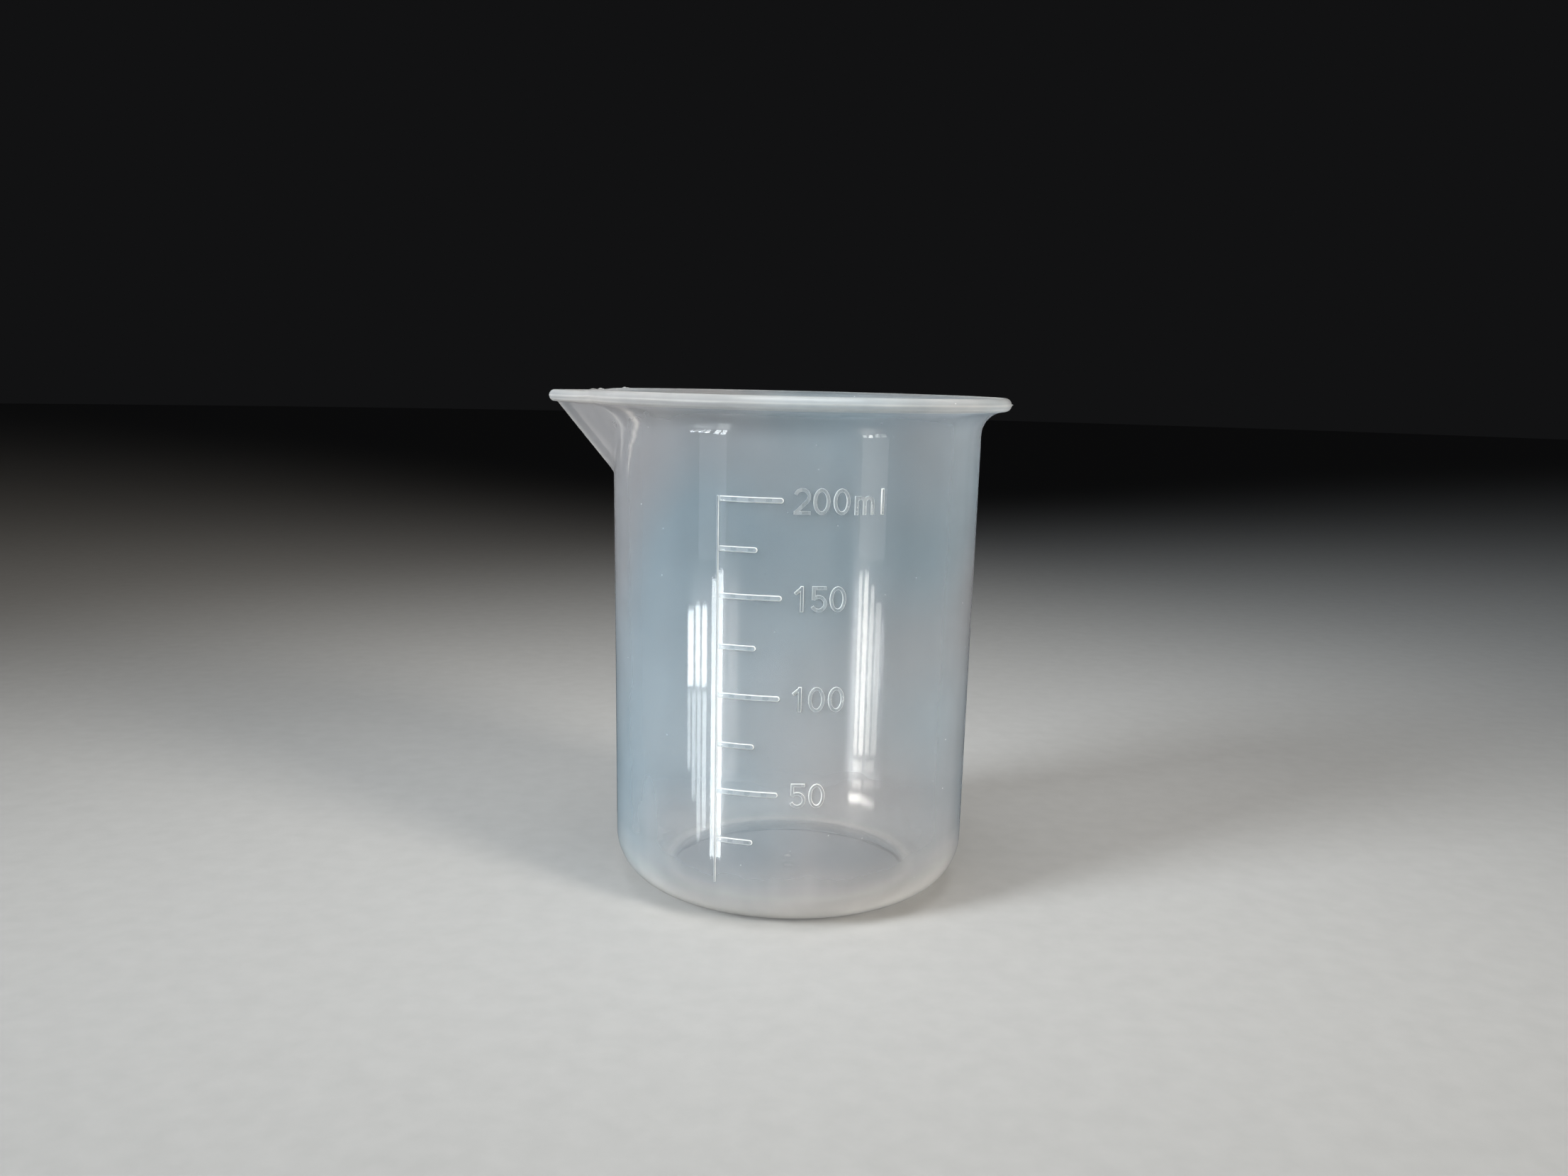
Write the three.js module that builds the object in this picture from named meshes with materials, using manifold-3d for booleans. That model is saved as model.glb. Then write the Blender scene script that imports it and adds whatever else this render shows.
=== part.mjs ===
// Low-form laboratory beaker, nominal 250 ml, injection moulded in natural polypropylene.
// Millimetres, +Z up. The origin is on the bore axis, in the plane the foot ring stands on.
// The spout points to -X and the scale faces -Y.
import * as THREE from "three";
import { mergeVertices } from "three/addons/utils/BufferGeometryUtils.js";
import Module from "manifold-3d";

// ---------------------------------------------------------------- dimensions

const SEGMENTS = 72; // facets round the body

const HEIGHT = 89.5; // foot plane to the top of the rim
const WALL_R = 32.81; // outside of the wall, where the flare starts
const WALL = 1.25; // side wall thickness
const DRAFT = 0.37; // degrees that the wall leans out

const FOOT_CORNER_R = 9; // outside corner between wall and foot
const FOOT_RING_W = 1.13; // flat of the foot ring
const FOOT_EDGE = 0.3; // chamfer on the inner edge of the foot ring
const RECESS = 0.6; // the base panel is lifted clear of the table by this much
const FLOOR = 1.8; // thickness of the base panel
const FLOOR_CORNER_R = 9; // inside corner between floor and wall

const RIM_OVERHANG = 5.06; // wall to the nose of the rim bead
const BEAD_H = 2.3;
const BEAD_NOSE = 1.15; // how far the round of the bead reaches
const FLARE_R = 4.2; // concave curve under the bead
const FLARE_IN_W = 4.9; // quarter ellipse from the bore out to the rim
const FLARE_IN_H = 6.3;

const SPOUT_DEPTH = 15; // top of the rim down to where the spout's crease leaves the wall
const CREASE_REACH = 10.37; // wall to the crease, under the lip
const LIP_REACH = 11.79; // wall to the tip of the lip
const LIP_BELOW_RIM = 0.3; // the lip is a little lower than the rim
const LIP_H = 2.05;
const LIP_TIP_R = 1.6; // tip of the lip, seen from above
const SPOUT_WALL = 1.3;
const SPOUT_HALF_ANGLE = 52.8; // each flank from the spout's middle plane, seen from above
const CHANNEL_HALF_ANGLE = 50.5;
const SPOUT_ROOT = 6.8; // the spout's solids start this far inside the wall

const MARK_GAP = 0.02; // the raised marks stand this far off the facets of the wall
const MARK_H = 0.28; // relief of the marks
const LINE_H = 0.18; // relief of the scale line
const LINE_W = 0.3;
const LINE_ARC = -12.56; // scale line, as distance round the wall from the -Y direction
const LINE_INTO_CORNER = 0.6; // it runs this far down the foot corner
const TICK_W = 0.9;
const TICK_CLEAR = 0.03; // between a tick and the scale line
const LONG_TICK_END = -1.9; // distance round the wall
const SHORT_TICK_END = -5.95;
const FIRST_MARK_Z = 16.1; // the 25 ml mark
const HEADROOM = 16.35; // the 200 ml mark to the top of the rim
const MARK_STEP = 25; // ml
const MARK_COUNT = 8;
// The mould's marks aren't quite even: how far above its even place each one is.
const MARK_SHIFT = { 50: 0.35, 75: 0.2, 100: 0.4, 125: 0.4, 150: 0.65, 175: 0.15 };

const GLYPH_H = 4.2;
const GLYPH_W = 2.72;
const STROKE = 0.55;
const X_HEIGHT = 3.0;
const M_WIDTH = 3.3;
const ONE_W = 1.55;
// The characters beside each mark, with their left edges as distance round the wall.
const NUMERALS = {
  50: [["5", -0.03], ["0", 3.15]],
  100: [["1", 0.1], ["0", 2.72], ["0", 5.96]],
  150: [["1", 0.05], ["5", 2.65], ["0", 5.78]],
  200: [["2", -0.33], ["0", 2.75], ["0", 6.0], ["m", 9.5], ["l", 14.0]],
};

// Natural polypropylene: milky, glossy on the wall and whiter where it is thick.
const PLASTIC = { color: 0xcfd8dc, roughness: 0.28, metalness: 0, transparent: true, opacity: 0.6 };
const MARK_PLASTIC = { ...PLASTIC, color: 0xe6ecef, roughness: 0.22, opacity: 0.8 };

// ------------------------------------------------------------ solid helpers

const wasm = await Module();
wasm.setup();

const rad = THREE.MathUtils.degToRad;

// A closed geometry as a solid that can be joined to and cut by others.
function solid(geometry) {
  const plain = (geometry.index ? geometry.toNonIndexed() : geometry).clone();
  plain.deleteAttribute("normal");
  plain.deleteAttribute("uv");
  const merged = mergeVertices(plain, 1e-5);
  return new wasm.Manifold(
    new wasm.Mesh({
      numProp: 3,
      vertProperties: merged.attributes.position.array,
      triVerts: new Uint32Array(merged.index.array),
    }),
  );
}

function mesh(name, body, look) {
  const m = body.getMesh();
  const corners = new Float32Array(m.numVert * 3);
  for (let i = 0; i < m.numVert; i++)
    corners.set(m.vertProperties.subarray(i * m.numProp, i * m.numProp + 3), i * 3);
  const g = new THREE.BufferGeometry()
    .setAttribute("position", new THREE.BufferAttribute(corners, 3))
    .setIndex(new THREE.BufferAttribute(m.triVerts, 1));
  const made = new THREE.Mesh(g, new THREE.MeshStandardMaterial(look));
  made.name = name;
  return made;
}

// A profile of [radius, height] pairs, from axis to axis, turned round +Z.
function turned(profile) {
  const g = new THREE.LatheGeometry(
    profile.map(([r, z]) => new THREE.Vector2(r, z)),
    SEGMENTS,
  );
  g.rotateX(Math.PI / 2);
  return solid(g);
}

// Points on an ellipse from one angle to another, in degrees, ends included.
function arc(r, z, rx, rz, from, to, steps) {
  return Array.from({ length: steps + 1 }, (_, i) => {
    const a = rad(from + ((to - from) * i) / steps);
    return [r + rx * Math.cos(a), z + rz * Math.sin(a)];
  });
}

// A flat outline, given in the XY plane, raised along +Z between two heights.
function raised(shape, from, to) {
  const g = new THREE.ExtrudeGeometry(shape, {
    depth: to - from,
    bevelEnabled: false,
    curveSegments: 10,
  });
  g.translate(0, 0, from);
  return solid(g);
}

// ------------------------------------------------------------------- vessel

const FLARE_Z = HEIGHT - BEAD_H - FLARE_R; // the wall ends and the flare starts
const FLOOR_Z = RECESS + FLOOR;
const SPOUT_BACK = WALL_R - SPOUT_ROOT;
const CLEAR = 3; // cutters stand this far above the rim

const wallRadius = (z) => WALL_R - (FLARE_Z - z) * Math.tan(rad(DRAFT));
const boreRadius = (z) => wallRadius(z) - WALL;

function outerBody() {
  const foot = wallRadius(FOOT_CORNER_R) - FOOT_CORNER_R; // outer edge of the foot ring
  const ring = foot - FOOT_RING_W;
  const nose = WALL_R + RIM_OVERHANG - BEAD_NOSE;
  return turned([
    [0, RECESS],
    [ring - FOOT_EDGE, RECESS],
    [ring - FOOT_EDGE, FOOT_EDGE],
    [ring, 0],
    ...arc(foot, FOOT_CORNER_R, FOOT_CORNER_R, FOOT_CORNER_R, -90, 0, 7),
    ...arc(WALL_R + FLARE_R, FLARE_Z, FLARE_R, FLARE_R, 180, 98, 5),
    ...arc(nose, HEIGHT - BEAD_H / 2, BEAD_NOSE, BEAD_H / 2, -78, 90, 7),
    [0, HEIGHT],
  ]);
}

function bore() {
  const corner = FLOOR_Z + FLOOR_CORNER_R;
  const rim = boreRadius(FLARE_Z) + FLARE_IN_W;
  return turned([
    [0, FLOOR_Z],
    ...arc(boreRadius(corner) - FLOOR_CORNER_R, corner, FLOOR_CORNER_R, FLOOR_CORNER_R, -90, 0, 7),
    ...arc(rim, HEIGHT - FLARE_IN_H, FLARE_IN_W, FLARE_IN_H, 180, 90, 7),
    [rim, HEIGHT + CLEAR],
    [0, HEIGHT + CLEAR],
  ]);
}

// A solid through a stack of level outlines, [height, points], of equal point counts.
function stacked(levels) {
  const n = levels[0][1].length;
  const corners = levels.flatMap(([z, points]) => points.map(([x, y]) => [x, y, z]));
  const faces = [];
  for (let k = 0; k + 1 < levels.length; k++)
    for (let i = 0; i < n; i++) {
      const [p, q] = [k * n + i, k * n + ((i + 1) % n)];
      faces.push([p, q, q + n], [p, q + n, p + n]);
    }
  const last = (levels.length - 1) * n;
  for (let i = 1; i + 1 < n; i++) faces.push([0, i + 1, i], [last, last + i, last + i + 1]);
  const g = new THREE.BufferGeometry()
    .setAttribute("position", new THREE.Float32BufferAttribute(corners.flat(), 3))
    .setIndex(faces.flat());
  return solid(g);
}

// A V in plan with a rounded point at -X, running back to x = -SPOUT_BACK, counterclockwise.
function vee(tip, round, halfAngle, steps) {
  const lean = 90 - halfAngle;
  const nose = arc(-(tip - round), 0, round, round, 180 - lean, 180 + lean, steps);
  const back = nose[0][1] + (-SPOUT_BACK - nose[0][0]) * Math.tan(rad(halfAngle));
  return [[-SPOUT_BACK, back], ...nose, [-SPOUT_BACK, -back]];
}

// A wedge whose level section is a sharp V with its point on a sloping crease line.
// crease(z) gives the distance of that point from the axis.
function wedge(crease, halfAngle, from, to) {
  return stacked(
    [from, to].map((z) => {
      const half = (crease(z) - SPOUT_BACK) * Math.tan(rad(halfAngle));
      return [z, [[-crease(z), 0], [-SPOUT_BACK, -half], [-SPOUT_BACK, half]]];
    }),
  );
}

const LIP_TOP = HEIGHT - LIP_BELOW_RIM;
const CREASE_FOOT_Z = HEIGHT - SPOUT_DEPTH;
const CREASE_TOP_Z = LIP_TOP - LIP_H;
const CREASE_TOP_R = WALL_R + CREASE_REACH;
const CREASE_RUN =
  (CREASE_TOP_R - wallRadius(CREASE_FOOT_Z)) / (CREASE_TOP_Z - CREASE_FOOT_Z);

const outerCrease = (z) => CREASE_TOP_R + (z - CREASE_TOP_Z) * CREASE_RUN;

// How far inside the outer crease the channel's crease lies, for flanks of SPOUT_WALL.
function creaseInset() {
  const half = rad(SPOUT_HALF_ANGLE);
  const along = new THREE.Vector3(-CREASE_RUN, 0, 1).normalize();
  const flank = new THREE.Vector3(Math.cos(half), Math.sin(half), 0);
  return SPOUT_WALL / Math.abs(along.cross(flank).normalize().x);
}

// The flat lip round the spout, with a half-round edge.
function lip() {
  const half = LIP_H / 2;
  const reach = WALL_R + LIP_REACH;
  const edge = arc(reach - half, LIP_TOP - half, half, half, -90, 90, 8);
  return stacked(
    edge.map(([tip, z]) => [z, vee(tip, LIP_TIP_R - reach + tip, SPOUT_HALF_ANGLE, 6)]),
  );
}

function vessel() {
  const inset = creaseInset();
  const under = CREASE_FOOT_Z - SPOUT_ROOT / 2 / CREASE_RUN; // still outside SPOUT_BACK
  const spout = wedge(outerCrease, SPOUT_HALF_ANGLE, under, LIP_TOP - LIP_H / 2);
  const channel = wedge((z) => outerCrease(z) - inset, CHANNEL_HALF_ANGLE, under, HEIGHT + CLEAR);
  return outerBody().add(spout).add(lip()).subtract(bore().add(channel));
}

// -------------------------------------------------------------------- marks

const LINE_FROM = FOOT_CORNER_R - LINE_INTO_CORNER;

function markHeight(ml) {
  const pitch = (HEIGHT - HEADROOM - FIRST_MARK_Z) / (MARK_COUNT - 1);
  return FIRST_MARK_Z + pitch * (ml / MARK_STEP - 1) + (MARK_SHIFT[ml] ?? 0);
}

// The layer over the wall, and over the top of the foot corner, that marks are cut from.
function skin(relief) {
  const drop = 2 * LINE_INTO_CORNER;
  const tuck = FOOT_CORNER_R - Math.sqrt(FOOT_CORNER_R ** 2 - drop ** 2);
  const layer = (off) =>
    turned([
      [0, FOOT_CORNER_R - drop],
      [wallRadius(FOOT_CORNER_R) - tuck + off, FOOT_CORNER_R - drop],
      [wallRadius(FOOT_CORNER_R) + off, FOOT_CORNER_R],
      [WALL_R + off, FLARE_Z],
      [0, FLARE_Z],
    ]);
  return layer(MARK_GAP + relief).subtract(layer(MARK_GAP));
}

// Cuts a mark out of the skin: the outline is in the wall's tangent plane, x round the wall
// from the point at that arc distance and y up from height z.
function mark(layer, outlines, arcMm, z) {
  const cutters = outlines.map((s) => raised(s, WALL_R - 4, WALL_R + 4));
  const turn = new THREE.Matrix4()
    .makeRotationZ(arcMm / wallRadius(z))
    .multiply(new THREE.Matrix4().makeTranslation(0, 0, z))
    .multiply(new THREE.Matrix4().makeRotationX(Math.PI / 2));
  const cutter = cutters.reduce((a, b) => a.add(b)).transform(turn.elements);
  return layer.intersect(cutter);
}

// A stroke of even width along a line of points, with square ends.
function stroke(points, width = STROKE) {
  const p = points.map(([x, y]) => new THREE.Vector2(x, y));
  const side = p.map((q, i) => {
    const a = i > 0 ? q.clone().sub(p[i - 1]).normalize() : null;
    const b = i < p.length - 1 ? p[i + 1].clone().sub(q).normalize() : null;
    const t = (a && b ? a.clone().add(b) : a || b).normalize();
    const n = new THREE.Vector2(-t.y, t.x);
    const ref = a || b;
    const spread = Math.max(0.5, n.dot(new THREE.Vector2(-ref.y, ref.x)));
    return n.multiplyScalar(width / 2 / spread);
  });
  const left = p.map((q, i) => q.clone().add(side[i]));
  const right = p.map((q, i) => q.clone().sub(side[i]));
  return new THREE.Shape([...right, ...left.reverse()]);
}

function oval(width, height) {
  const shape = new THREE.Shape();
  shape.absellipse(width / 2, 0, width / 2, height / 2, 0, Math.PI * 2);
  const hole = new THREE.Path();
  hole.absellipse(width / 2, 0, width / 2 - STROKE, height / 2 - STROKE, 0, Math.PI * 2);
  shape.holes.push(hole);
  return shape;
}

// Outlines of a character. Its left edge is at x = 0 and its middle height at y = 0.
function character(c) {
  const s = STROKE / 2;
  const top = GLYPH_H / 2 - s;
  const w = GLYPH_W;
  if (c === "0") return [oval(w, GLYPH_H)];
  if (c === "1") {
    const x = ONE_W - s;
    return [stroke([[x, -top - s], [x, top + s]]), stroke([[0.15, top - 1.0], [x, top - 0.02]])];
  }
  if (c === "2") {
    const r = w / 2 - s;
    const bowl = arc(w / 2, top - r, r, r, 165, -38, 10);
    return [stroke([...bowl, [s + 0.12, -top + 0.1]]), stroke([[0, -top], [w, -top]])];
  }
  if (c === "5") {
    const r = w / 2 - s;
    const low = -top + r * 1.02;
    const bowl = arc(w / 2, low, r, r * 1.02, 140, -155, 14);
    return [
      stroke(bowl),
      stroke([[w - 0.1, top], [0.42, top]]),
      stroke([[0.55, top + s], [bowl[0][0] + 0.02, bowl[0][1] - 0.1]]),
    ];
  }
  if (c === "l") return [stroke([[s, -top - s], [s, top + s]])];
  // m: three stems and two arches, standing on the same line as the numerals
  const foot = -GLYPH_H / 2;
  const r = (M_WIDTH - STROKE) / 4;
  const spring = foot + X_HEIGHT - s - r;
  const stem = (x, up) => stroke([[x, foot], [x, up]]);
  return [
    stem(s, foot + X_HEIGHT),
    stem(s + 2 * r, spring + 0.1),
    stem(s + 4 * r, spring + 0.05),
    stroke(arc(s + r, spring, r, r, 180, 0, 8)),
    stroke(arc(s + 3 * r, spring, r, r, 180, 0, 8)),
  ];
}

// A bar with a round right-hand end, centred on x = 0.
function bar(length) {
  const half = TICK_W / 2;
  const shape = new THREE.Shape();
  shape.moveTo(-length / 2, -half);
  shape.lineTo(length / 2 - half, -half);
  shape.absarc(length / 2 - half, 0, half, -Math.PI / 2, Math.PI / 2);
  shape.lineTo(-length / 2, half);
  return shape;
}

function scaleLine() {
  const length = markHeight(MARK_STEP * MARK_COUNT) + TICK_W / 2 - LINE_FROM;
  return mark(skin(LINE_H), [stroke([[0, 0], [0, length]], LINE_W)], LINE_ARC, LINE_FROM);
}

function marks() {
  const layer = skin(MARK_H);
  const made = [mesh("scale_line", scaleLine(), MARK_PLASTIC)];
  const start = LINE_ARC + LINE_W / 2 + TICK_CLEAR;
  for (let i = 1; i <= MARK_COUNT; i++) {
    const ml = i * MARK_STEP;
    const row = String(ml).padStart(3, "0");
    const end = NUMERALS[ml] ? LONG_TICK_END : SHORT_TICK_END;
    const tick = mark(layer, [bar(end - start)], (start + end) / 2, markHeight(ml));
    made.push(mesh("tick_" + row, tick, MARK_PLASTIC));
    for (const [at, [c, left]] of (NUMERALS[ml] ?? []).entries()) {
      const glyph = mark(layer, character(c), left, markHeight(ml));
      made.push(mesh(`numeral_${row}_${at + 1}_${c}`, glyph, MARK_PLASTIC));
    }
  }
  return made;
}

// ----------------------------------------------------------------- assembly

const beaker = new THREE.Group();
beaker.name = "beaker";
beaker.add(mesh("vessel", vessel(), PLASTIC), ...marks());

export default beaker;
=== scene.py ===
import math

import bmesh
import bpy
from mathutils import Matrix, Vector


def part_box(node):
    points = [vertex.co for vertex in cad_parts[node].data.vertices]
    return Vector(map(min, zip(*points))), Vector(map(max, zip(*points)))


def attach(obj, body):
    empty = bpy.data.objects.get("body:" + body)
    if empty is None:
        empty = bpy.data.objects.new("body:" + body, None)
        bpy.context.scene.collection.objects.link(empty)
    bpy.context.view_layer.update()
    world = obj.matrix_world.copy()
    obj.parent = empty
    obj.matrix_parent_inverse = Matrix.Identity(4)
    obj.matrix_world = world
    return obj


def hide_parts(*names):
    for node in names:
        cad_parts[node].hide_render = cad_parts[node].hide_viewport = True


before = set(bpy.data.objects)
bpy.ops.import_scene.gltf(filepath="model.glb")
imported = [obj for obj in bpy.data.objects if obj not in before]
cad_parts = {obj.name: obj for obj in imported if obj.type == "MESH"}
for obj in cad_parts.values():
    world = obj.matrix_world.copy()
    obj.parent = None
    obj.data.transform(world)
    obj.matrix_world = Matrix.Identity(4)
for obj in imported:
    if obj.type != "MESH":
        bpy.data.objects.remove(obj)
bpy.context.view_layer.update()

# ---------------------------------------------------------------------------------------
# The vessel. The real one is a single injection moulding in natural polypropylene: a round
# body on a foot ring, with a rolled rim and a pouring spout drawn out of its left side.
# All of it is one skin, so it is one closed surface here too. Sizes are in millimetres.
# ---------------------------------------------------------------------------------------

MM = 0.001  # the scene is in metres

vessel_low, vessel_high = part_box("vessel")
HEIGHT = vessel_high.z / MM
BEAD_NOSE_R = vessel_high.x / MM  # the rim's bead is the widest part of the body
LIP_REACH = -vessel_low.x / MM  # the spout points to -X

BEAD_HEIGHT = 2.3
BEAD_DEPTH = 1.15  # how far the round of the bead reaches
BEAD_START = -78  # degrees below level, where the bead's round leaves the flare
RIM_OVERHANG = 5.06
WALL_R = BEAD_NOSE_R - RIM_OVERHANG
WALL = 1.25
DRAFT = math.radians(0.37)
FLARE_R = 4.2  # concave curve under the bead
FLARE_END = 98  # degrees, where that curve meets the bead
FLARE_TOP_W = 4.9  # inside, the bore opens out to the rim in a quarter ellipse
FLARE_TOP_H = 6.3
FLARE_Z = HEIGHT - BEAD_HEIGHT - FLARE_R

CORNER_R = 9.0  # between wall and foot, inside and out
RECESS = 0.6  # the base panel is lifted clear of the table
FLOOR_Z = RECESS + 1.8
FOOT_RING_W = 1.13
FOOT_EDGE = 0.3
FOOT_MIDDLE_R = 22.6  # the base panel's part of the underside

GATE_STUB_R = 0.8  # trimmed stub in the middle of the underside, where the melt came in
GATE_STUB_H = 0.45
GATE_DIMPLE_R = 2.6
GATE_DIMPLE = 0.22
SEAM = 0.05  # parting line round the nose of the bead
SEAM_WIDTH = 0.11  # radians of the bead's round

SPOUT_DEPTH = 15.0
CREASE_REACH = 10.37
LIP_DROP = 0.3  # the lip is a little lower than the rim
LIP_HEIGHT = 2.05
LIP_TIP_R = 1.6
SPOUT_WALL = 1.3
OUTSIDE_ANGLE = math.radians(52.8)  # each flank from the spout's middle plane
INSIDE_ANGLE = math.radians(50.5)
CREASE_SOFT = 0.006  # softens both creases, as a share of their distance from the axis
OUTSIDE_BLEND = 0.9  # flank to wall
INSIDE_BLEND = 2.0  # channel to bore, less at the rim
INSIDE_BLEND_LEAST = 0.5
LIP_BLEND = 0.5
LIP_EDGE_R = 0.4  # inner edge of the lip
LIP_ENDS = (math.radians(13), math.radians(21))  # the lip rises to the rim between these
SPOUT_SPREAD = math.radians(44)  # the spout moves nothing further round than this

# The skin's faces: columns across the spout and round the rest of the body, and rows up
# the wall. The flat rings crowd together where the floor's whiteness changes.
SPOUT_COLUMNS = 200
BODY_COLUMNS = 220
ROW = 4
FINE_ROW = 0.8  # from this far below the spout up to the rim
FINE_BELOW_SPOUT = 6
PANEL_RINGS = (5, 10, 15, 18.5)
FLOOR_RINGS = (21.3, 20.5, 19.6, 18.4, 15, 10, 6)


def arc(r, z, rx, rz, start, end, steps):
    """Points of an ellipse in the profile plane, from one angle to another in degrees."""
    turns = [math.radians(start + (end - start) * i / steps) for i in range(steps + 1)]
    return [(r + rx * math.cos(t), z + rz * math.sin(t), t) for t in turns]


def heights(low, high, step):
    """Evenly spaced heights, about a step apart."""
    count = round((high - low) / step)
    return [low + (high - low) * i / count for i in range(count + 1)]


def wall_r(z):
    """Outside radius of the drafted wall."""
    return WALL_R - (FLARE_Z - z) * math.tan(DRAFT)


def underside():
    """From the gate stub out over the base panel and the foot ring to the foot of the wall."""
    foot = wall_r(CORNER_R) - CORNER_R
    ring = foot - FOOT_RING_W
    stub_z = RECESS - GATE_STUB_H
    gate = [(0, stub_z), (GATE_STUB_R * 0.6, stub_z), (GATE_STUB_R * 0.9, stub_z + 0.12),
            (GATE_STUB_R, RECESS), (GATE_STUB_R + 0.3, RECESS + GATE_DIMPLE * 0.8),
            (GATE_DIMPLE_R * 0.6, RECESS + GATE_DIMPLE), (GATE_DIMPLE_R, RECESS)]
    panel = [(r, RECESS) for r in PANEL_RINGS]
    foot_ring = [(ring - FOOT_EDGE - 0.5, RECESS), (ring - FOOT_EDGE, RECESS - 0.08),
                 (ring - FOOT_EDGE, FOOT_EDGE), (ring - 0.1, 0.05), (ring + 0.1, 0),
                 (ring + FOOT_RING_W * 0.5, 0)]
    corner = [(r, z) for r, z, _ in arc(foot, CORNER_R, CORNER_R, CORNER_R, -90, 0, 18)]
    return gate + panel + foot_ring + corner


def bore_floor():
    """From the bore's corner in over the floor to the dimple above the gate."""
    corner_z = FLOOR_Z + CORNER_R
    corner_r = wall_r(corner_z) - WALL - CORNER_R
    corner = [(r, z) for r, z, _ in arc(corner_r, corner_z, CORNER_R, CORNER_R, 0, -90, 18)[1:]]
    flat = [(r, FLOOR_Z) for r in FLOOR_RINGS]
    dimple = [(GATE_DIMPLE_R, FLOOR_Z), (GATE_STUB_R * 1.3, FLOOR_Z + 0.1),
              (GATE_STUB_R * 0.6, FLOOR_Z + 0.2), (0, FLOOR_Z + 0.22)]
    return corner + flat + dimple


def profile():
    """The section of the wall as (radius, height, part of the wall, turn) from axis to axis."""
    spout_foot = HEIGHT - SPOUT_DEPTH - FINE_BELOW_SPOUT
    points = [(r, z, "foot", 0) for r, z in underside()]
    points += [(wall_r(z), z, "outside", 0) for z in heights(CORNER_R, spout_foot, ROW)[1:]]
    points += [(wall_r(z), z, "outside", 0) for z in heights(spout_foot, FLARE_Z, FINE_ROW)[1:]]
    flare = arc(WALL_R + FLARE_R, FLARE_Z, FLARE_R, FLARE_R, 180, FLARE_END, 12)
    points += [(r, z, "outside", 0) for r, z, _ in flare[1:]]
    bead = arc(BEAD_NOSE_R - BEAD_DEPTH, HEIGHT - BEAD_HEIGHT / 2, BEAD_DEPTH, BEAD_HEIGHT / 2,
               BEAD_START, 90, 28)
    points += [(r, z, "bead", turn) for r, z, turn in bead]
    bore_top = HEIGHT - FLARE_TOP_H
    mouth = arc(WALL_R - WALL + FLARE_TOP_W, bore_top, FLARE_TOP_W, FLARE_TOP_H, 90, 180, 20)
    points += [(r, z, "inside", 0) for r, z, _ in mouth]
    for low, high, step in ((spout_foot, bore_top, FINE_ROW), (FLOOR_Z + CORNER_R, spout_foot, ROW)):
        points += [(wall_r(z) - WALL, z, "inside", 0)
                   for z in reversed(heights(low, high, step)[:-1])]
    points += [(r, z, "floor", 0) for r, z in bore_floor()]
    return points


# The spout. Its flanks are two flat faces that meet in a crease, which runs from the wall
# up to the lip. The wall's vertices are drawn out to those faces, so the skin stays whole.

LIP_TOP = HEIGHT - LIP_DROP
CREASE_FOOT_Z = HEIGHT - SPOUT_DEPTH
CREASE_TOP_Z = LIP_TOP - LIP_HEIGHT
CREASE_TOP_R = WALL_R + CREASE_REACH
CREASE_RUN = (CREASE_TOP_R - wall_r(CREASE_FOOT_Z)) / (CREASE_TOP_Z - CREASE_FOOT_Z)


def crease_inset():
    """How far inside the outer crease the channel's crease lies, for flanks of SPOUT_WALL."""
    along = Vector((-CREASE_RUN, 0, 1)).normalized()
    level = Vector((math.cos(OUTSIDE_ANGLE), math.sin(OUTSIDE_ANGLE), 0))
    return SPOUT_WALL / abs(along.cross(level).normalized().x)


INSET = crease_inset()


def crease(z):
    """Distance from the axis to the outer crease."""
    return CREASE_TOP_R + (z - CREASE_TOP_Z) * CREASE_RUN


def flank(reach, half_angle, turn):
    """Distance from the axis to a V-shaped pair of faces, at a turn from its point."""
    across = math.hypot(math.sin(turn), CREASE_SOFT) - CREASE_SOFT
    return reach / (math.cos(turn) + across / math.tan(half_angle))


def lip_outline(inset, turn):
    """Distance from the axis to the lip's rounded V, drawn in by inset."""
    tip_r = LIP_TIP_R - inset
    middle = LIP_REACH - LIP_TIP_R
    straight = flank(middle + tip_r / math.sin(OUTSIDE_ANGLE), OUTSIDE_ANGLE, turn)
    across = middle * math.sin(turn)
    if across >= tip_r:
        return straight
    tip = middle * math.cos(turn) + math.sqrt(tip_r**2 - across**2)
    past_tangent = math.atan2(tip * math.sin(turn), tip * math.cos(turn) - middle)
    return tip if past_tangent < math.pi / 2 - OUTSIDE_ANGLE else straight


def blended(a, b, width):
    """The larger of two distances, with a fillet where they are equal."""
    return max(a, b) + max(width - abs(a - b), 0) ** 2 / (4 * width)


def eased(value, start, end):
    """0 before the start, 1 past the end, and a smooth rise between them."""
    t = min(max((value - start) / (end - start), 0), 1)
    return t * t * (3 - 2 * t)


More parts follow.
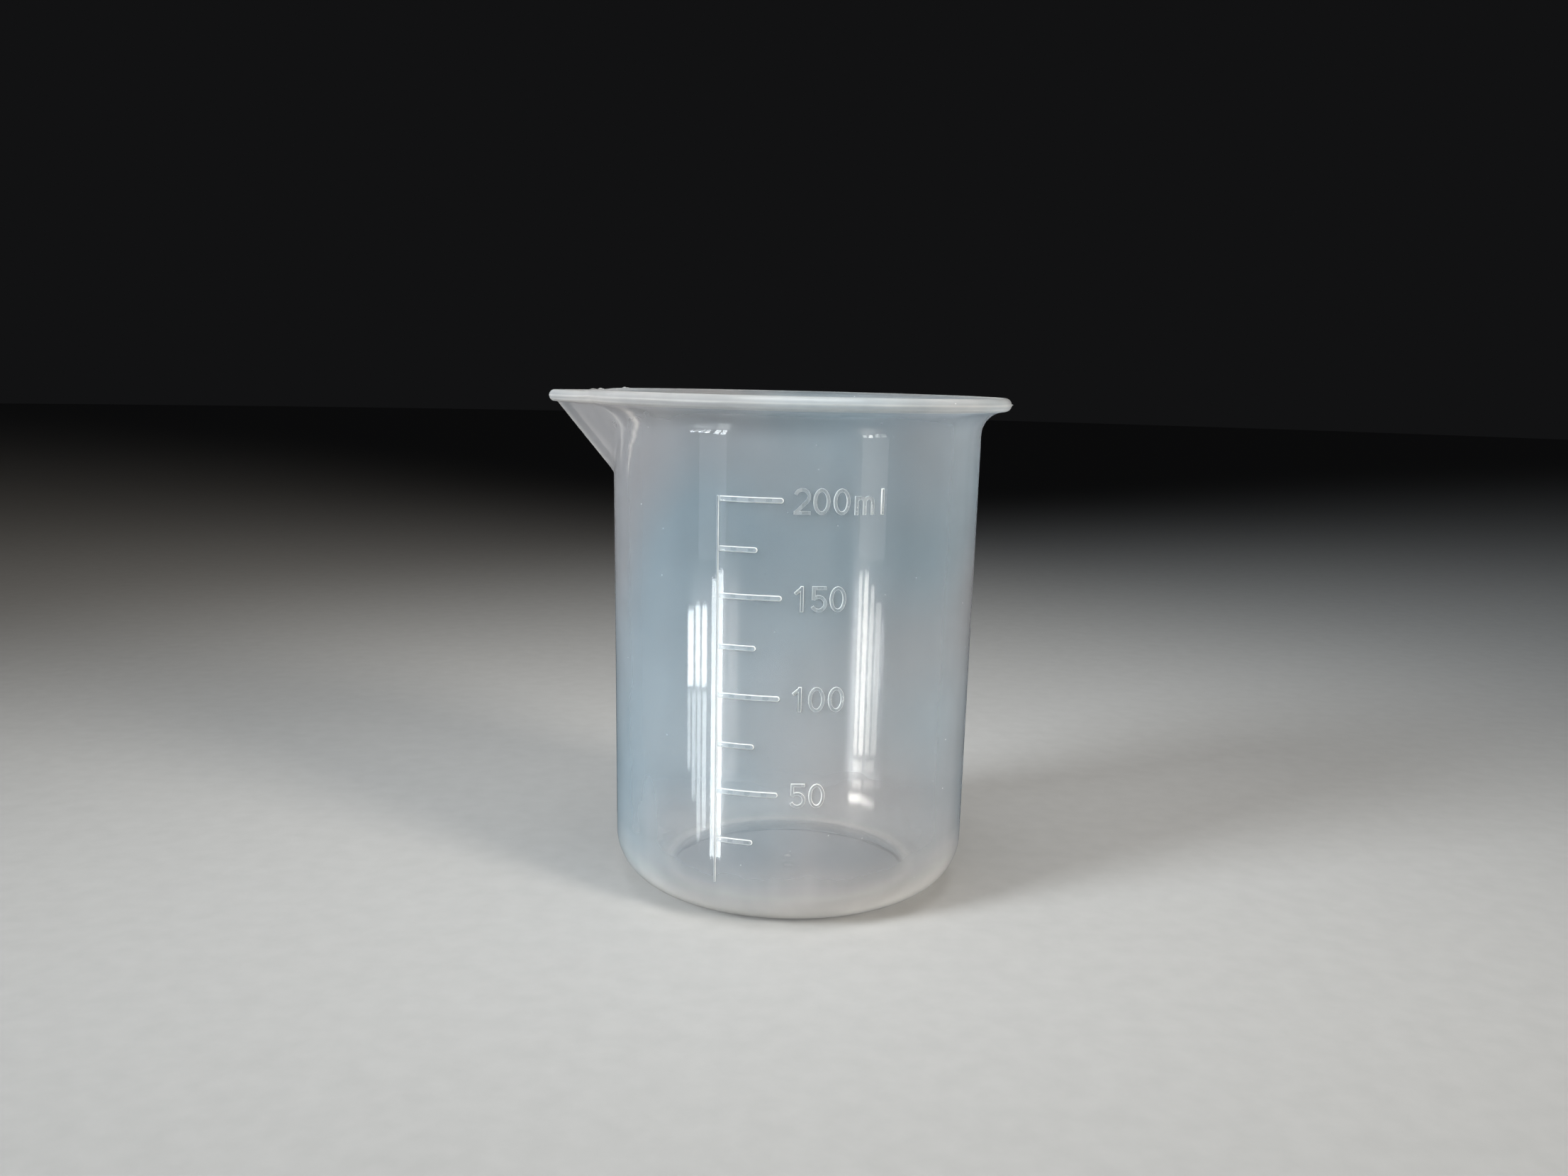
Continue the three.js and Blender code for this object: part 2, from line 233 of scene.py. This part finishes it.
def spouted(r, z, part, bead_turn, turn):
    """Where a point of the body's section goes at a turn from the spout's middle plane."""
    lip = 1 - eased(turn, *LIP_ENDS)
    if part == "outside":
        drop = lip * (BEAD_HEIGHT - LIP_HEIGHT - LIP_DROP) * eased(z, FLARE_Z, CREASE_TOP_Z)
        z += drop
        return blended(r, flank(crease(z), OUTSIDE_ANGLE, turn), OUTSIDE_BLEND), z
    if part == "bead":
        half = LIP_HEIGHT / 2
        inset = half * (1 - math.cos(bead_turn))
        lip_z = LIP_TOP - half + half * math.sin(bead_turn)
        return blended(r, lip_outline(inset, turn), LIP_BLEND), z + (lip_z - z) * lip
    z -= lip * LIP_DROP * eased(z, HEIGHT - 4, HEIGHT)
    top = HEIGHT - lip * LIP_DROP
    past_edge = min(max(1 - (top - z) / LIP_EDGE_R, 0), 1)
    edge = LIP_EDGE_R * (1 - math.sqrt(1 - past_edge**2))
    channel = flank(crease(z) - INSET + edge, INSIDE_ANGLE, turn)
    return blended(r, channel, INSIDE_BLEND * eased(HEIGHT - z, 0, 3) + INSIDE_BLEND_LEAST), z


# Mould flash: bits of plastic squeezed into the parting line round the nose of the bead.
# Each is its bearing in degrees from +X, its width in degrees, and how far it stands out.
NOSE_FLASH = ((-3, 3.0, 0.42), (4, 2.2, 0.2), (152, 3, 0.12), (196, 4, 0.15), (230, 5, 0.06))
TOP_FLASH = ((168, 0.9, 0.2), (165.4, 0.7, 0.26), (154, 0.8, 0.24), (152.5, 0.5, 0.14))


def flash(bearing, bits):
    """How far the flash stands out at a bearing."""
    off = [((bearing - at + 180) % 360 - 180) / width for at, width, _ in bits]
    return sum(size * math.exp(-o * o) for o, (_, _, size) in zip(off, bits))


def ridge(value, at, width):
    """1 where the value is at the ridge, falling to 0 on both sides of it."""
    return math.exp(-(((value - at) / width) ** 2))


# The plastic's whiteness, from 0 on the thin wall to 1 where it is thickest. It is a little
# of the same all over each part, and more in rings, in creases and round the gate. Part of it
# is painted light: on the bead's top and underside, in the base's rings and on the marks' edges.
WALL_MILK = 0.02
BASE_MILK = 0.08
BEAD_MILK = 0.38
BEAD_PAINTED_LIGHT = 0.12  # painted light, added on top of the bead and under it, where light catches it
SEAM_MILK = (0.24, 0, 0.14)  # whiteness, and place and width in radians of the bead's round
STEP_MILK = (0.16, -0.62, 0.12)
FOOT_RING_MILK_AND_LIGHT = (0.3, 22.9, 1.2)  # whiteness, radius and width: thicker plastic, with painted light added
# The floor's ring is whiter for thicker plastic, and with painted light from above.
FLOOR_RING_MILK_AND_LIGHT = (0.85, 22.6, 1.5)
CORNER_TOP = (1, 12)  # the thick curve between wall and foot thins out between these heights
FOOT_CORNER_MILK = 0.75
FOOT_CORNER_SPAN = (23, 27)  # radii between which it sets in
FLOOR_CORNER_MILK = 0.3
FLOOR_CORNER_SPAN = (22, 25)
CREASE_MILK = (0.35, 0, 1.6)  # whiteness, and place and width in degrees from the crease
CREASE_MILK_Z = 78  # height where it is full
RIM_MILK = 0.12
RIM_MILK_SPAN = (HEIGHT - 4, HEIGHT - 0.3)

# Where the spout's channel meets the bore, the melt closed in a whitish weld on each side:
# heights from the top down, each with its turn from the spout's middle in degrees.
WELD = ((86.5, 14), (85, 18), (83.2, 19.5), (81, 16.4), (78.5, 12.2), (75, 9.2), (71.5, 7.6))
WELD_WIDTH = 1.8  # degrees
WELD_FADE_IN = (71.5, 76)  # heights
WELD_FADE_OUT = (85, 87.5)


def weld(z, turn):
    """How near a point is to the weld, from 0 to 1."""
    at = WELD[-1][1]
    for (high, first), (low, second) in zip(WELD, WELD[1:]):
        if low <= z <= high:
            at = first + (second - first) * eased(high - z, 0, high - low)
    ends = eased(z, *WELD_FADE_IN) * (1 - eased(z, *WELD_FADE_OUT))
    return ridge(math.degrees(turn), at, WELD_WIDTH) * ends


def milk_ridge(value, milk):
    """The whiteness that a ring or a line adds, given as whiteness, place and width."""
    whiteness, at, width = milk
    return whiteness * ridge(value, at, width)


def milkiness(r, z, part, bead_turn, turn):
    """How white the plastic looks at a point of the skin."""
    stub = ridge(r, 0, GATE_STUB_R)
    corner = 1 - eased(z, *CORNER_TOP)
    if part == "bead":
        seam = milk_ridge(bead_turn, SEAM_MILK)
        step = milk_ridge(bead_turn, STEP_MILK)
        # The bead's top and underside get painted light.
        return BEAD_MILK + seam + step + BEAD_PAINTED_LIGHT * math.sin(bead_turn) ** 2
    # The rings of the base panel are whiter where the plastic is thicker, with painted light added.
    if part == "foot":
        curve = FOOT_CORNER_MILK * corner * eased(r, *FOOT_CORNER_SPAN)
        return min(BASE_MILK + milk_ridge(r, FOOT_RING_MILK_AND_LIGHT) + curve + stub, 1)
    if part == "floor":
        curve = FLOOR_CORNER_MILK * corner * eased(r, *FLOOR_CORNER_SPAN)
        return min(BASE_MILK + milk_ridge(r, FLOOR_RING_MILK_AND_LIGHT) + curve + stub, 1)
    crease_line = milk_ridge(math.degrees(turn), CREASE_MILK)
    crease_line *= eased(z, CREASE_FOOT_Z, CREASE_MILK_Z)
    rim = RIM_MILK * eased(z, *RIM_MILK_SPAN)
    streak = weld(z, turn) if part == "inside" else 0
    return min(WALL_MILK + rim + streak + crease_line, 1)


def moulded_skin():
    """Turns the section into the body's closed skin and draws the spout out of it."""
    section = profile()
    bm = bmesh.new()
    station = bm.verts.layers.int.new("station")
    start = Matrix.Rotation(math.pi - SPOUT_SPREAD, 4, "Z")
    for at, (r, z, _, _) in enumerate(section):
        bm.verts.new(start @ Vector((r, 0, z)))[station] = at
    bm.verts.ensure_lookup_table()
    line = [bm.edges.new(bm.verts[i : i + 2]) for i in range(len(section) - 1)]
    across_spout = bmesh.ops.spin(
        bm, geom=bm.verts[:] + line, axis=(0, 0, 1), cent=(0, 0, 0),
        angle=2 * SPOUT_SPREAD, steps=SPOUT_COLUMNS)["geom_last"]
    bmesh.ops.spin(
        bm, geom=across_spout, axis=(0, 0, 1), cent=(0, 0, 0),
        angle=2 * math.pi - 2 * SPOUT_SPREAD, steps=BODY_COLUMNS)
    bmesh.ops.remove_doubles(bm, verts=bm.verts, dist=1e-4)
    milk = bm.verts.layers.float.new("milk")
    bore = bm.verts.layers.float.new("bore")  # 1 inside and under the base panel
    for v in bm.verts:
        r, z, part, bead_turn = section[v[station]]
        bearing = math.atan2(v.co.y, v.co.x)
        turn = math.pi - abs(bearing)
        new_r, new_z = r, z
        if part in ("outside", "bead", "inside") and turn < SPOUT_SPREAD:
            new_r, new_z = spouted(r, z, part, bead_turn, turn)
        v[milk] = milkiness(new_r, new_z, part, bead_turn, turn)
        v[bore] = part in ("inside", "floor") or (part == "foot" and r < FOOT_MIDDLE_R)
        if part == "bead":
            bearing_deg = math.degrees(bearing)
            new_r += (SEAM + flash(bearing_deg, NOSE_FLASH)) * ridge(bead_turn, 0, SEAM_WIDTH)
            crown = eased(math.sin(bead_turn), 0.6, 1)
            new_z += flash(bearing_deg, TOP_FLASH) * crown
        v.co = Vector((new_r * math.cos(bearing), new_r * math.sin(bearing), new_z))
    bmesh.ops.recalc_face_normals(bm, faces=bm.faces)
    bmesh.ops.scale(bm, vec=(MM, MM, MM), verts=bm.verts)
    return bm


def piece(name, bm, sharp_above=math.radians(38)):
    """The finished mesh as an object at the origin, smooth but for its sharp edges."""
    mesh = bpy.data.meshes.new(name)
    bm.to_mesh(mesh)
    bm.free()
    for p in mesh.polygons:
        p.use_smooth = True
    mesh.set_sharp_from_angle(angle=sharp_above)
    made = bpy.data.objects.new(name, mesh)
    bpy.context.scene.collection.objects.link(made)
    return made


# Natural polypropylene. A thin wall is a bluish haze that shows what is behind it, and
# thick plastic is a warmer white that hides it. The mould left it glossy, with long
# faint ripples up the wall and a few dust specks.

BLUE_FILM = (0.375, 0.485, 0.56, 1)
GREY_FILM = (0.46, 0.465, 0.49, 1)
DRIFT_SCALE = 22  # per metre, of the patches that drift from one film colour to the other
THICK_COLOUR = (0.865, 0.84, 0.80, 1)
CLOUD_SCALE = 90  # per metre, of slightly lighter and darker patches
CLOUD_SHADE = (0.94, 1.05)
FILM_COVER = 0.28  # how much of what is behind each face of the wall hides
THICK_COVER = 0.86
EDGE_COVER = 0.62  # added where the outside is seen edge-on
EDGE_POWER = 2.1
FADE_POWER = 2.0
SPECK_COLOUR = (0.95, 0.95, 0.93, 1)
SPECK_SCALE = 260.0  # per metre
SPECK_SIZE = 0.028  # as a share of the distance between specks
SPECK_COVER = 0.5
GLOW = 0.38  # share of the light that comes through from behind
GLOSS = (0.02, 0.045)  # roughness, from the shiniest patches to the dullest
THICK_DULL = 0.2  # added where it is thickest
BORE_DULL = 0.1  # added inside, where the mould's core was less polished
COAT_LOSS = (0, 0.1, 0.8, 0.1)  # the coat goes from 0.8 where nothing is dulled to 0.1
COAT_ROUGHNESS = 0.03
REFRACTION = 1.49
SPECULAR = 0.9
RIPPLES = (40, 40, 5)  # per metre round the wall and up it
RIPPLE_STRENGTH = 0.3
WALL_RIPPLE = 0.0002  # metres
STREAKS = (110, 110, 6)  # lighter and darker streaks up the wall
STREAK_MILK = (-0.03, 0.08)


class Nodes:
    """Adds nodes to a material's tree and links them."""

    def __init__(self, name):
        self.material = bpy.data.materials.new(name)
        self.material.use_nodes = True
        self.tree = self.material.node_tree
        self.tree.nodes.clear()
        self.place = self.add("ShaderNodeTexCoord").outputs["Object"]

    def add(self, kind, inputs=(), **settings):
        node = self.tree.nodes.new(kind)
        for key, value in settings.items():
            setattr(node, key, value)
        for key, value in dict(inputs).items():
            if isinstance(value, bpy.types.NodeSocket):
                self.tree.links.new(value, node.inputs[key])
            else:
                node.inputs[key].default_value = value
        return node

    def attribute(self, name):
        return self.add("ShaderNodeAttribute", attribute_name=name).outputs["Fac"]

    def math(self, operation, a, b=0.0, clamp=False):
        return self.add("ShaderNodeMath", {0: a, 1: b}, operation=operation,
                        use_clamp=clamp).outputs[0]

    def mix(self, factor, a, b):
        return self.add("ShaderNodeMix", {0: factor, 6: a, 7: b}, data_type="RGBA").outputs[2]

    def shaded(self, colour, shade):
        return self.add("ShaderNodeVectorMath", {0: colour, "Scale": shade},
                        operation="SCALE").outputs[0]

    def spread(self, value, low, high, to_low, to_high):
        return self.add("ShaderNodeMapRange", {
            "Value": value, "From Min": low, "From Max": high,
            "To Min": to_low, "To Max": to_high}).outputs[0]

    def noise(self, scale, detail=2.0, stretch=(1, 1, 1)):
        place = self.add("ShaderNodeMapping", {"Vector": self.place, "Scale": stretch})
        return self.add("ShaderNodeTexNoise", {
            "Vector": place.outputs[0], "Scale": scale, "Detail": detail}).outputs["Fac"]

    def mix_shader(self, factor, a, b):
        return self.add("ShaderNodeMixShader", {0: factor, 1: a, 2: b}).outputs[0]

    def finish(self, surface):
        self.add("ShaderNodeOutputMaterial", {"Surface": surface})
        return self.material


def polypropylene(name, film_cover, thick_cover, thick_colour, ripple_height):
    """The moulded plastic: haze where its milk is 0, and a hiding white where it is 1."""
    n = Nodes(name)
    milk = n.attribute("milk")
    flow = n.noise(1.0, 1.0, RIPPLES)
    cloud = n.noise(CLOUD_SCALE, 2.0)
    drift = n.spread(n.noise(DRIFT_SCALE, 1.0), 0.4, 0.6, 0, 1)
    film_colour = n.mix(drift, BLUE_FILM, GREY_FILM)
    streaks = n.spread(n.noise(1.0, 2.0, STREAKS), 0.35, 0.7, *STREAK_MILK)
    thickness_and_painted_light = n.math("ADD", milk, streaks, clamp=True)
    specks = n.add("ShaderNodeTexVoronoi", {"Vector": n.place, "Scale": SPECK_SCALE})
    near_speck = n.math("LESS_THAN", specks.outputs["Distance"], SPECK_SIZE)
    speck = n.math("MULTIPLY", near_speck, SPECK_COVER)
    shade = n.spread(cloud, 0.3, 0.7, *CLOUD_SHADE)
    colour = n.mix(thickness_and_painted_light, film_colour, thick_colour)
    colour = n.mix(speck, colour, SPECK_COLOUR)
    colour = n.shaded(colour, shade)
    # Seen edge-on, the outside hides more; the inside fades, since the wall bends light.
    bore = n.attribute("bore")
    facing = n.add("ShaderNodeLayerWeight", {"Blend": 0.5}).outputs["Facing"]
    outline = n.math("MULTIPLY", n.math("POWER", facing, EDGE_POWER), EDGE_COVER)
    outline = n.math("MULTIPLY", outline, n.math("SUBTRACT", 1.0, bore))
    thin_bore = n.math("MULTIPLY", bore, n.math("SUBTRACT", 1.0, thickness_and_painted_light))
    edge_fade = n.math("MULTIPLY", n.math("POWER", facing, FADE_POWER), thin_bore)
    fade = n.math("SUBTRACT", 1.0, edge_fade)
    cover = n.math("MULTIPLY", n.spread(thickness_and_painted_light, 0.0, 1.0, film_cover, thick_cover), fade)
    cover = n.math("ADD", n.math("ADD", cover, outline), speck, clamp=True)
    bump = n.add("ShaderNodeBump", {
        "Strength": RIPPLE_STRENGTH, "Distance": ripple_height, "Height": flow}).outputs["Normal"]
    thick_dull = n.math("MULTIPLY", thickness_and_painted_light, THICK_DULL)
    bore_dull = n.math("MULTIPLY", bore, BORE_DULL)
    dulled = n.math("ADD", thick_dull, bore_dull)
    rough = n.math("ADD", n.spread(cloud, 0.25, 0.75, *GLOSS), dulled)
    body = n.add("ShaderNodeBsdfPrincipled", {
        "Base Color": colour, "Roughness": rough, "Normal": bump, "IOR": REFRACTION,
        "Specular IOR Level": SPECULAR, "Coat Weight": n.spread(dulled, *COAT_LOSS),
        "Coat Roughness": COAT_ROUGHNESS}).outputs[0]
    glow = n.add("ShaderNodeBsdfTranslucent", {"Color": colour, "Normal": bump}).outputs[0]
    plastic = n.mix_shader(GLOW, body, glow)
    clear = n.add("ShaderNodeBsdfTransparent").outputs[0]
    return n.finish(n.mix_shader(cover, clear, plastic))


vessel = piece("moulded_vessel", moulded_skin())
vessel.data.materials.append(
    polypropylene("natural_polypropylene", FILM_COVER, THICK_COVER, THICK_COLOUR, WALL_RIPPLE))
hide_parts("vessel")
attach(vessel, "root")

# ---------------------------------------------------------------------------------------
# The scale. Its line, eight graduations and numerals are shallow pads of the same
# plastic, raised by letters cut into the mould, so their edges are soft and catch light.
# Each takes its outline from its solid in the frame and gets its edges rounded here, with a painted
# highlight on them.
# ---------------------------------------------------------------------------------------

MARK_EDGE_R = 0.18 * MM
LINE_EDGE_R = 0.08 * MM
MARK_JOIN = 0.002 * MM  # a solid's loose facets are joined within this
FLAT_ANGLE = math.radians(1)
FLAT_TOP = math.radians(9)  # most that a pad's top turns away from the wall's own slope
MARK_SHARP_ABOVE = math.radians(50)

MARK_HIGHLIGHT_WHITE = (0.93, 0.94, 0.93, 1)  # painted highlight: the white painted on the rounded edges, where they catch light
MARK_TOP_MILK = 0.12
MARK_BACK_MILK = 0.5  # against the wall
# The rounded edges are painted fully white, as a painted highlight.
MARK_EDGE_HIGHLIGHT = 1
MARK_FILM_COVER = 0.05
MARK_THICK_COVER = 1.0
MARK_RIPPLE = 0.0001  # metres


def outward(face):
    """1 for a face of a pad's flat top, -1 for one against the wall, 0 for an edge's."""
    middle = face.calc_center_median()
    facing = face.normal.dot(Vector((middle.x, middle.y, 0)).normalized())
    return 0 if abs(facing) < math.cos(FLAT_TOP) else round(facing)


def mark_pad(name, edge_r):
    """The frame's solid with its facets joined up and its top edges rounded."""
    bm = bmesh.new()
    bm.from_mesh(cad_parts[name].data)
    bmesh.ops.remove_doubles(bm, verts=bm.verts, dist=MARK_JOIN)
    bmesh.ops.dissolve_limit(
        bm, angle_limit=FLAT_ANGLE, use_dissolve_boundaries=False, verts=bm.verts, edges=bm.edges)
    bm.normal_update()
    top = [e for e in bm.edges if sorted(outward(f) for f in e.link_faces) == [0, 1]]
    bmesh.ops.bevel(bm, geom=top, offset=edge_r, offset_type="OFFSET", affect="EDGES",
                    segments=3, profile=0.5, material=-1, clamp_overlap=True)
    bm.normal_update()
    # The flat tops get little whiteness and the rounded edges get the painted highlight.
    milk = bm.verts.layers.float.new("milk")
    for v in bm.verts:
        sides = [outward(f) for f in v.link_faces]
        if 1 in sides:
            v[milk] = MARK_TOP_MILK
        elif -1 in sides:
            v[milk] = MARK_BACK_MILK
        else:
            v[milk] = MARK_EDGE_HIGHLIGHT
    return bm


mark_plastic = polypropylene(
    "raised_mark_polypropylene", MARK_FILM_COVER, MARK_THICK_COVER, MARK_HIGHLIGHT_WHITE, MARK_RIPPLE)
for node_name in sorted(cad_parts):
    if node_name == "vessel":
        continue
    rounding = LINE_EDGE_R if node_name == "scale_line" else MARK_EDGE_R
    mark = piece("moulded_" + node_name, mark_pad(node_name, rounding), MARK_SHARP_ABOVE)
    mark.data.materials.append(mark_plastic)
    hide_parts(node_name)
    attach(mark, "root")

# ---------------------------------------------------------------------------------------
# The stage: a plain pale floor, with soft light from above and from a window on each side.
# What a polished table would throw back up comes from one soft light below the floor and
# from narrow strips of window light that only gloss sees.
# ---------------------------------------------------------------------------------------

FLOOR_R = 3.0  # metres
FLOOR_COLOUR = (0.45, 0.45, 0.445)
ROOM_COLOUR = (0.006, 0.0061, 0.0065, 1)


def pale_floor():
    """A matt light grey with a fine grain."""
    n = Nodes("pale_floor")
    grain = n.spread(n.noise(220, 3.0), 0.3, 0.7, 0.97, 1.03)
    return n.finish(n.add("ShaderNodeBsdfPrincipled", {
        "Base Color": n.shaded(FLOOR_COLOUR, grain), "Roughness": 0.6,
        "Specular IOR Level": 0.2}).outputs[0])


disc = bmesh.new()
bmesh.ops.create_circle(disc, cap_ends=True, radius=FLOOR_R, segments=96)
table = piece("table", disc)
table.data.materials.append(pale_floor())
table.visible_glossy = False

room = bpy.data.worlds.new("room")
bpy.context.scene.world = room
room.use_nodes = True
room.node_tree.nodes["Background"].inputs["Color"].default_value = ROOM_COLOUR

AIM = Vector((0, 0, 0.05))  # the middle of the beaker, which every light faces
WHITE = (1, 1, 1)


def softbox(name, bearing, elevation, distance, width, height, strength, tint=WHITE, spread=180):
    """An area light that faces the beaker, from a bearing round it and an elevation."""
    b = math.radians(bearing)
    e = math.radians(elevation)
    out = Vector((math.sin(b) * math.cos(e), -math.cos(b) * math.cos(e), math.sin(e)))
    data = bpy.data.lights.new(name, "AREA")
    data.shape = "RECTANGLE"
    data.size = width
    data.size_y = height
    data.energy = strength * width * height
    data.color = tint
    data.spread = math.radians(spread)
    light = bpy.data.objects.new(name, data)
    light.location = AIM + out * distance
    light.rotation_euler = out.to_track_quat("Z", "Y").to_euler()
    bpy.context.scene.collection.objects.link(light)
    return light


softbox("overhead", 0, 76, 0.5, 0.36, 0.36, 3.1, spread=90)
left_window = softbox("left_window", -57, 24, 0.9, 0.30, 0.5, 6.3, (0.92, 0.97, 1), spread=40)
right_window = softbox("right_window", 50, 22, 0.9, 0.24, 0.45, 5.2, (1, 0.93, 0.84), spread=40)
left_window.visible_glossy = False
right_window.visible_glossy = False

bounce = softbox("table_bounce", -14, -30, 0.7, 0.6, 0.22, 3.6)
bounce.visible_glossy = False
bounce.visible_camera = False
bounce.data.use_shadow = False

# The strips: bearing from and to, elevation of top and bottom, and strength. Each window
# shows as tall panes with dimmer ones or slats under them, and again faintly higher up.
GLINTS = (
    (-46.2, -43.2, -8, -22, 95),
    (-50.6, -47.4, -8.4, -22, 95),
    (-57.2, -53.8, -9.7, -13.6, 110),
    (-61.8, -58.6, -9.7, -13.6, 100),
    (-67.5, -63.4, -9.9, -13.6, 110),
    (-56.6, -53.8, -13.9, -20.5, 52),
    (-60.4, -57.8, -13.9, -21.0, 42),
    (-64.2, -61.4, -13.9, -19.0, 36),
    (-67.5, -65.4, -13.9, -17.6, 40),
    (39.8, 41.8, -8, -16.8, 60),
    (43.2, 46.0, -8, -16.8, 80),
    (47.5, 50.0, -8.6, -16.8, 44),
    (51.6, 55.0, -9.4, -16.8, 26),
    (39.8, 45.6, -17.1, -17.6, 46),
    (47.6, 54.0, -17.1, -17.6, 22),
    (39.8, 45.6, -18.0, -18.4, 40),
    (47.6, 54.0, -18.0, -18.4, 18),
    (38.0, 45.8, -18.7, -19.1, 120),
    (46.4, 50.4, -18.85, -19.2, 90),
    (51.0, 55.0, -19.0, -19.3, 60),
    (-60, -42, 0, -7.5, 5),
    (39, 56, 0, -7.4, 6),
    (-58, -44, 24, 15, 10),
    (40, 56, 24, 15, 10),
)
GLINT_DISTANCE = 1.2
LEFT_GLINT = (0.93, 0.98, 1)
RIGHT_GLINT = (1, 0.96, 0.91)
for at, (start, end, top, bottom, strength) in enumerate(GLINTS):
    width = GLINT_DISTANCE * math.radians(end - start)
    height = GLINT_DISTANCE * math.radians(top - bottom)
    tint = LEFT_GLINT if start < 0 else RIGHT_GLINT
    glint = softbox(f"glint_{at}", (start + end) / 2, (top + bottom) / 2, GLINT_DISTANCE,
                    width, height, strength, tint)
    glint.visible_diffuse = False
    glint.visible_transmission = False
    glint.visible_camera = False
    glint.data.use_shadow = False

# ---------------------------------------------------------------------------------------
# The camera: in front of the scale, a little above the rim, and tipped slightly down and
# to one side. Its small shift frames the beaker a little below the middle.
# ---------------------------------------------------------------------------------------

camera_data = bpy.data.cameras.new("camera")
camera_data.sensor_width = 36
camera_data.lens = 31.45
camera_data.shift_x = -0.0076
camera_data.shift_y = 0.0373
camera_data.clip_start = 0.01
camera_data.clip_end = 20
camera = bpy.data.objects.new("camera", camera_data)
camera.location = (0, -0.24934, 0.09269)
forward = Vector((0.0025, 0.98092, -0.19438)).normalized()
upward = Vector((-0.02301, 0.19439, 0.98065))
right = forward.cross(upward).normalized()
camera.rotation_mode = "QUATERNION"
camera.rotation_quaternion = Matrix(
    (right, right.cross(forward), -forward)).transposed().to_quaternion()
bpy.context.scene.collection.objects.link(camera)
bpy.context.scene.camera = camera
bpy.context.scene.view_settings.view_transform = "Standard"
